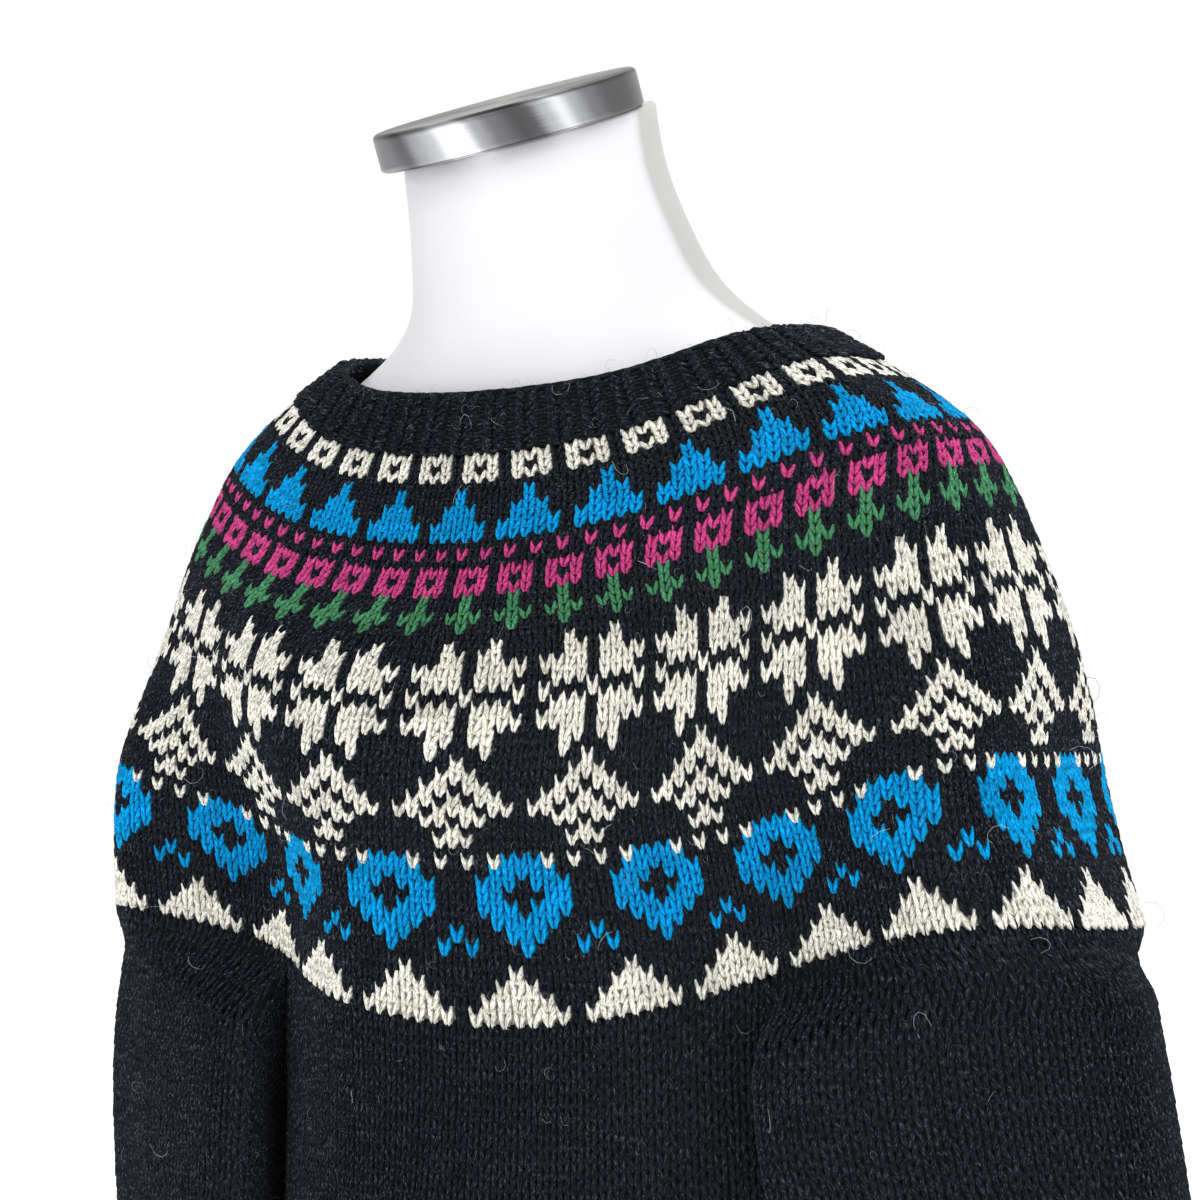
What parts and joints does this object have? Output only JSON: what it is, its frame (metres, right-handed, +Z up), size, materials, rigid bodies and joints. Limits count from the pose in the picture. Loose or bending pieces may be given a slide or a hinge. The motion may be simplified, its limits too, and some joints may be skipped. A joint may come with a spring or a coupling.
{
  "type": "sweater on dress form",
  "caption": "Hand-knitted round-yoke wool sweater with colourwork bands, hanging on a limbless dress form with a steel neck cap; it stands on the form's flat underside.",
  "frame": {"origin": "middle of the form's flat underside, on the surface it stands on", "axes": "+Z up, the garment's front faces -Y, the wearer's left is +X"},
  "size_m": [0.5287, 0.2761, 0.8711],
  "materials": {
    "wool_charcoal": "hand-knitted wool, stockinette and rib",
    "form_white": "smooth satin white",
    "steel_brushed": "brushed round the rim"
  },
  "bodies": {
    "root": {"dress_form": "form_white", "neck_cap": "steel_brushed", "neckband": "wool_charcoal", "yoke": "wool_charcoal", "body": "wool_charcoal", "hem_rib": "wool_charcoal", "sleeve_left": "wool_charcoal", "sleeve_right": "wool_charcoal", "cuff_left": "wool_charcoal", "cuff_right": "wool_charcoal"}
  },
  "joints": []
}
